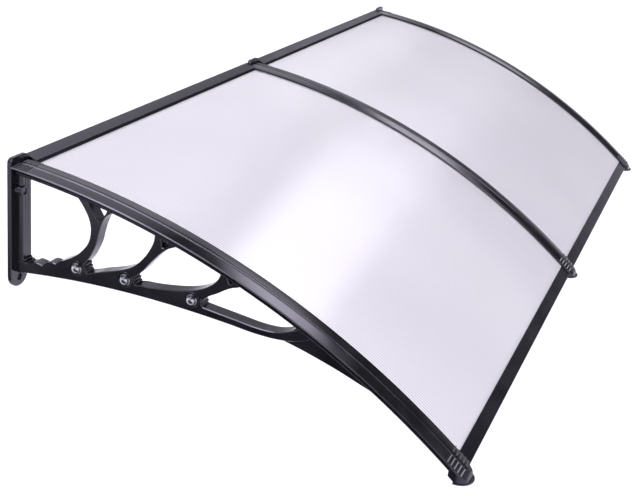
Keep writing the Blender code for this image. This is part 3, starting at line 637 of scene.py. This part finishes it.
def bolt_surrounds():
    """Raised ring round each bolt on both faces, and the reeds in the crotch beside it."""
    shapes = []
    ring = [(-0.0010, 0.0128), (0.0008, 0.0122), (0.0014, 0.0126), (0.0015, 0.0134), (0.0015, 0.0144),
            (0.0010, 0.0149), (0.0004, 0.0150), (-0.0010, 0.0150)]
    # The first reed's distance and direction from the bolt, then the way on to the next ones
    away, first, pitch, slant = 0.01645, math.radians(31.0), 0.0068, math.radians(70.0)
    reed_radius, reed_length = 0.0029, 2 * (WEB_HALF - 0.0012)
    for reach, z in BOLT_PLACES:
        reach, z = reach * MM, z * MM
        for side in (1, -1):
            profile = [(side * x, radius) for x, radius in ring]
            shapes.append(turned_along_x(profile, side * WEB_HALF, reach, z))
        for row in range(3):
            out = reach + away * math.cos(first) + pitch * row * math.cos(slant)
            up = z + away * math.sin(first) - pitch * row * math.sin(slant)
            reed = round_bar(24, reed_radius, reed_length, (0.0, -out, up))
            soften(reed, 0.0006, 2, 60.0)
            shapes.append(reed)
    return shapes


def slice_off(bm, place, normal):
    """Takes off what lies beyond a plane, and closes the cut."""
    bmesh.ops.bisect_plane(bm, geom=bm.verts[:] + bm.edges[:] + bm.faces[:], plane_co=place,
                           plane_no=normal, clear_outer=True)
    bmesh.ops.holes_fill(bm, edges=[edge for edge in bm.edges if edge.is_boundary])


def nose():
    """Rounded nose that closes the front of the sheets and the bar, with a lip round its foot."""
    end_reach, end_z = arch_point(BAR_END)
    front = end_reach + 0.0145
    straight, tail, base = front - 0.0275, front - 0.0395, end_z - 0.0146
    half_width, rough_height, lip_width = 0.0260, 0.060, 0.0018

    def plan(back, grow, z):
        half = half_width + grow
        points = [(half, back)]
        for step in range(25):
            turn = math.pi * step / 24
            reach = straight + (front - straight + grow) * math.sin(turn)
            points.append((half * math.cos(turn), reach))
        return [(x, -reach, z) for x, reach in points + [(-half, back)]]

    body = bmesh.new()
    flat_face(body, plan(tail, 0.0, base))
    extrude(body, (0.0, 0.0, rough_height))
    # Its top lies just under the two halves of the bar, and falls off more steeply in front of it
    spot = Vector((0.0, -end_reach, end_z))
    forward = Vector((0.0, -math.cos(BAR_END), -math.sin(BAR_END)))
    up = Vector((0.0, -math.sin(BAR_END), math.cos(BAR_END)))
    gable = Vector((BAR_SLOPE, 0.0, 0.0))
    slice_off(body, spot, up + gable)
    slice_off(body, spot, up - gable)
    slice_off(body, spot + forward * 0.0056, Matrix.Rotation(math.radians(24), 3, "X") @ up)
    # Its tail ends under the flange
    low_reach, low_z = arch_point(BAR_END - 0.012, RIB_UNDER)
    slice_off(body, (0.0, -low_reach, low_z), (0.0, -forward.z, forward.y))
    soften(body, 0.0010, 3, 28.0)

    lip = bmesh.new()
    flat_face(lip, plan(straight - lip_width, lip_width, base - 0.0025))
    extrude(lip, (0.0, 0.0, 0.0028))
    soften(lip, 0.0008, 3, 50.0)
    return [body, lip]


def bracket_shapes():
    """All that makes up one bracket moulding."""
    return ([open_web(), front_web(), arch_rib(), post(), screw_tube()] + wall_plate()
            + stepped_collar() + bolt_surrounds() + nose())


# Fixings

def cross_bolt():
    """Pan-head bolt through the arm, with a cross recess, its thread end past the nut."""
    seat, head_height, slot_turn = -WEB_HALF - WASHER_THICKNESS, 0.0056, 20
    head = turned_along_x([(0.0, 0.0), (0.0, 0.00825), (-0.0024, 0.00825), (-0.0040, 0.0074),
                           (-0.0050, 0.0054), (-0.0055, 0.0028), (-head_height, 0.0)],
                          seat, segments=48)
    slots = []
    for turn in (0, 90):
        slot = bmesh.new()
        bmesh.ops.create_cube(slot, size=1.0)
        bmesh.ops.scale(slot, vec=(0.0044, 0.0022, 0.0100), verts=slot.verts)
        # Narrower and shorter towards its bottom
        for vert in slot.verts:
            if vert.co.x > 0:
                vert.co.z *= 0.45
                vert.co.y *= 0.75
        turned = Matrix.Rotation(math.radians(turn + slot_turn), 4, "X")
        bmesh.ops.transform(slot, matrix=Matrix.Translation((seat - head_height, 0.0, 0.0)) @ turned,
                            verts=slot.verts)
        slots.append(slot)
    shank = turned_along_x([(0.0, 0.0), (0.0, 0.0040), (0.0365, 0.0040), (0.0375, 0.0032),
                            (0.0375, 0.0)], -WEB_HALF - 0.0010, segments=24)
    return [cut(head, joined(slots)), shank]


def cut(body, cutter):
    """Takes the cutter out of the body."""
    objects = []
    for name, bm in (("body", body), ("cutter", cutter)):
        bmesh.ops.recalc_face_normals(bm, faces=bm.faces)
        mesh = bpy.data.meshes.new(name)
        bm.to_mesh(mesh)
        bm.free()
        obj = bpy.data.objects.new(name, mesh)
        bpy.context.scene.collection.objects.link(obj)
        objects.append(obj)
    step = objects[0].modifiers.new("cut", "BOOLEAN")
    step.operation = "DIFFERENCE"
    step.object = objects[1]
    step.solver = "EXACT"
    step.use_self = True
    bpy.context.view_layer.update()
    result = finished_shape(objects[0])
    for obj in objects:
        bpy.data.objects.remove(obj)
    return result


def washer():
    """Flat washer between the bolt's head and the arm."""
    under, rim, bore, radius = -0.0001, -0.0012, 0.0043, 0.0105
    return [turned_along_x([(under, bore), (-WASHER_THICKNESS, bore), (-WASHER_THICKNESS, 0.0100),
                            (rim, radius), (under, radius)], -WEB_HALF)]


def nut():
    """Hexagon nut with turned-off corners."""
    half_flats, thickness = 0.0065, 0.0065
    bm = round_bar(6, half_flats / math.cos(math.pi / 6), thickness,
                   (WEB_HALF + 0.0001 + thickness / 2, 0.0, 0.0))
    ends = [edge for edge in bm.edges if edge.calc_face_angle() > 1.4]
    bmesh.ops.bevel(bm, geom=ends, offset=0.0007, affect="EDGES", segments=2, profile=0.5, material=-1)
    bmesh.ops.recalc_face_normals(bm, faces=bm.faces)
    return [bm]


# Rails

def rail(points, x_from, x_to, rounding):
    """Extrusion along the wall from a profile of reach and z, with its corners rounded."""
    bm = bmesh.new()
    face = flat_face(bm, [(x_from, -reach, z) for reach, z in points])
    round_corners(bm, list(face.verts), rounding, 2)
    extrude(bm, (x_to - x_from, 0.0, 0.0))
    bmesh.ops.recalc_face_normals(bm, faces=bm.faces)
    return bm


def build_bars_and_sheets():
    """The press bars, the sheets under their edges and the rubber strips between the two."""
    bar = to_mesh("press_bar", press_bar())
    for side, place in BRACKET_PLACES.items():
        piece("moulded_press_bar_" + side, bar, ABS, ["press_bar_" + side], place)
    half = SHEET_HALF_WIDTH
    profile = [(-half, SHEET_UNDER), (half, SHEET_UNDER), (half, SHEET_TOP), (-half, SHEET_TOP)]
    sheet = to_mesh("sheet", [arch_profile(profile, SHEET_START, SHEET_END)])
    for side, place in SHEET_PLACES.items():
        piece("opal_sheet_" + side, sheet, OPAL, ["sheet_" + side], place)
    width, inner = 0.0070, SHEET_PLACES["right"] - half + 0.0015
    profile = [(0.0, GASKET_UNDER), (width, GASKET_UNDER), (width, GASKET_TOP), (0.0, GASKET_TOP)]
    strip = to_mesh("strip", [arch_profile(profile, SHEET_START, SHEET_END, rounding=0.0003)])
    for name, place in (("gasket_left", BRACKET_PLACES["left"] + inner),
                        ("gasket_middle_left", -inner - width), ("gasket_middle_right", inner),
                        ("gasket_right", BRACKET_PLACES["right"] - inner - width)):
        piece("rubber_" + name, strip, RUBBER, [name], place)


def build_brackets():
    """The brackets, each with its bolts, washers and nuts."""
    moulding = to_mesh("moulding", bracket_shapes())
    fixings = {"bolt": to_mesh("bolt", cross_bolt()), "washer": to_mesh("washer", washer()),
               "nut": to_mesh("nut", nut())}
    for side, place in BRACKET_PLACES.items():
        piece("moulded_bracket_" + side, moulding, ABS, ["bracket_" + side], place)
        for number, (reach, z) in enumerate(BOLT_PLACES, start=1):
            for kind, mesh in fixings.items():
                node = "_".join((kind, side, str(number)))
                moved = mesh.copy()
                moved.transform(Matrix.Translation((0.0, -reach * MM, z * MM)))
                piece("plated_" + node, moved, STEEL, [node], place)


def rear_rail_profile():
    """Sloping flashing along the wall, with a slot for the back edge of the sheet and a lip that
    falls off steeply in front."""
    wall, back, brow, front, ledge_front, top = 0.0014, 0.0016, 0.0230, 0.0268, 0.0240, 0.0064

    def over_sheet(reach):
        return arch_point(arch_angle(reach), SHEET_TOP + CLEARANCE)[1]

    # The slope would come down on the sheet at this reach
    meeting = 0.0386
    slope = (over_sheet(meeting) + wall - top) / meeting
    ledge = [arch_point(arch_angle(reach), SHEET_UNDER - CLEARANCE) for reach in (back, ledge_front)]
    low = ledge[1][1] - wall
    return [(0.0, top), (brow, top + slope * brow), (front, over_sheet(front) + 0.0004),
            (front, over_sheet(front)), (back, top + slope * back - wall)] + ledge + [
            (ledge_front, low), (0.0, low)]


def front_rail_profile():
    """Slot on the front edge of the sheet, with a tight front corner and a skirt tucked back."""
    wall, width, slot_end, lip = 0.0014, 0.0284, 0.0215, 0.0030
    slot_top, slot_under = SHEET_TOP + CLEARANCE, SHEET_UNDER - CLEARANCE
    top, under = slot_top + wall, slot_under - wall
    edge, skirt = width * 0.95, under - 0.0063
    section = [(0.0, slot_top), (0.0, top), (edge, top), (width * 0.98, top - 0.0003),
               (width * 0.995, top - 0.0012), (width * 0.99, top - 0.0030), (edge, skirt),
               (edge - wall, skirt), (edge - wall, under - 0.0010), (edge - 2 * wall, under),
               (lip, under), (lip, slot_under), (slot_end, slot_under), (slot_end, slot_top)]
    start = BAR_END + (0.0036 - width) / ARCH_RADIUS
    return [arch_point(start + along / ARCH_RADIUS, height) for along, height in section]


def build_rails():
    """The rails, as long as the CAD's."""
    for side in ("left", "right"):
        for kind, profile in (("rear_rail", rear_rail_profile()), ("front_rail", front_rail_profile())):
            node = kind + "_" + side
            low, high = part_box(node)
            mesh = to_mesh(node, [rail(profile, low.x, high.x, 0.0003)])
            piece("anodised_" + node, mesh, ALUMINIUM, [node])


# Studio

def studio_floor():
    """Pale floor, well below the part so that no shadow shows in the photograph's view."""
    height, half_size = -2.40, 150.0
    bm = bmesh.new()
    bmesh.ops.create_grid(bm, x_segments=1, y_segments=1, size=half_size,
                          matrix=Matrix.Translation((0.0, 0.0, height)))
    floor = bpy.data.objects.new("studio_floor", to_mesh("studio_floor", [bm]))
    bpy.context.scene.collection.objects.link(floor)
    material, tree, shader = new_material("matt_white_studio_floor_painted_shade", {"Roughness": 0.9})
    place = add_node(tree, "ShaderNodeTexCoord").outputs["Object"]
    # Painted shade: a dark round patch on the floor behind the camera, standing in for dim light there,
    # which the side faces of the bracket mirror
    away = add_node(tree, "ShaderNodeVectorMath", {"operation": "DISTANCE", "1": (-4.3, 1.0, height)},
                    i0=place)
    painted_shade_mask = add_node(tree, "ShaderNodeMapRange",
                     {"interpolation_type": "SMOOTHSTEP", "From Min": 1.6, "From Max": 3.0},
                     Value=away.outputs["Value"])
    # The ramp paints the shade: dark inside the patch, pale floor outside it
    tint = ramp(tree, painted_shade_mask.outputs["Result"], [(0.0, "2c2c30"), (1.0, "f0f0f2")])
    tree.links.new(tint, shader.inputs["Base Color"])
    floor.data.materials.append(material)


def studio_light():
    """Soft boxes and strip lights, drawn on the world by the direction that they lie in."""
    world = bpy.data.worlds.new("soft_studio")
    bpy.context.scene.world = world
    world.use_nodes = True
    tree = world.node_tree
    background = tree.nodes["Background"]
    direction = add_node(tree, "ShaderNodeTexCoord").outputs["Generated"]
    axes = add_node(tree, "ShaderNodeSeparateXYZ", i0=direction)
    x, y, z = (axes.outputs[name] for name in "XYZ")

    def rise(source, start, end, low=0.0, high=1.0):
        """Goes smoothly from low to high while the source goes from start to end."""
        return add_node(tree, "ShaderNodeMapRange",
                        {"interpolation_type": "SMOOTHSTEP", "From Min": start, "From Max": end,
                         "To Min": low, "To Max": high}, Value=source).outputs["Result"]

    def combine(operation, first, *others):
        """Adds or multiplies sources and numbers, one after the other."""
        for other in others:
            node = add_node(tree, "ShaderNodeMath", {"operation": operation}, i0=first)
            if isinstance(other, float):
                node.inputs[1].default_value = other
            else:
                tree.links.new(other, node.inputs[1])
            first = node.outputs["Value"]
        return first

    def near_zero(source, inner, outer, level=1.0):
        """The level while the source is within inner of nought, nothing beyond outer."""
        return rise(combine("ABSOLUTE", source, 0.0), inner, outer, level, 0.0)

    # A long lamp above the left end, which draws the light lines on the edges
    above = combine("MULTIPLY", near_zero(combine("ADD", x, 0.46), 0.04, 0.08, 14.0),
                    near_zero(y, 0.45, 0.55), rise(z, 0.3, 0.4))
    # A soft box low behind the part
    behind = combine("MULTIPLY", rise(z, 0.17, 0.32, 0.0, 1.3), rise(y, 0.12, 0.26))
    # A leaning strip light beyond the right end, brighter towards its top
    lean = combine("ADD", combine("MULTIPLY", z, 0.61), -0.275)
    strip = combine("MULTIPLY", rise(z, 0.33, 0.72, 0.3, 8.0),
                    near_zero(combine("ADD", y, lean), 0.07, 0.17), rise(x, 0.0, 0.3))
    # A broad soft one in front, which evens out the sheets
    front = combine("MULTIPLY", rise(y, -0.85, -0.56, 5.6, 0.0), rise(z, 0.05, 0.30))
    # The pale walls of the room all round, and a little light from everywhere
    walls, everywhere = near_zero(z, 0.10, 0.18), 0.07
    total = combine("ADD", above, behind, strip, front, walls, everywhere)
    tinted = add_node(tree, "ShaderNodeVectorMath", {"operation": "SCALE", "0": (0.97, 0.95, 1.05)},
                      Scale=total)
    tree.links.new(tinted.outputs["Vector"], background.inputs["Color"])
    background.inputs["Strength"].default_value = 0.82


def camera():
    """Camera at the photograph's place: high to the left, a little in front, held aslant."""
    azimuth, elevation, roll = (math.radians(angle) for angle in (-70.075, 23.408, 6.902))
    back = Vector((math.sin(azimuth) * math.cos(elevation), -math.cos(azimuth) * math.cos(elevation),
                   math.sin(elevation)))
    right = Vector((0, 0, 1)).cross(back).normalized()
    up = back.cross(right)
    across = right * math.cos(roll) + up * math.sin(roll)
    upright = up * math.cos(roll) - right * math.sin(roll)
    data = bpy.data.cameras.new("camera")
    data.lens = 60.64
    data.sensor_width = 36.0
    data.clip_end = 60.0
    view = bpy.data.objects.new("camera", data)
    bpy.context.scene.collection.objects.link(view)
    matrix = Matrix((across, upright, back)).transposed().to_4x4()
    matrix.translation = Vector((-2.490, -1.151, 0.690))
    view.matrix_world = matrix
    bpy.context.scene.camera = view


build_bars_and_sheets()
build_brackets()
build_rails()
# The screws that pull the press bars down stay as the CAD has them
for name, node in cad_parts.items():
    if "screw" in name:
        node.data.materials.clear()
        node.data.materials.append(STEEL)
studio_floor()
studio_light()
camera()
bpy.context.scene.view_settings.view_transform = "Standard"
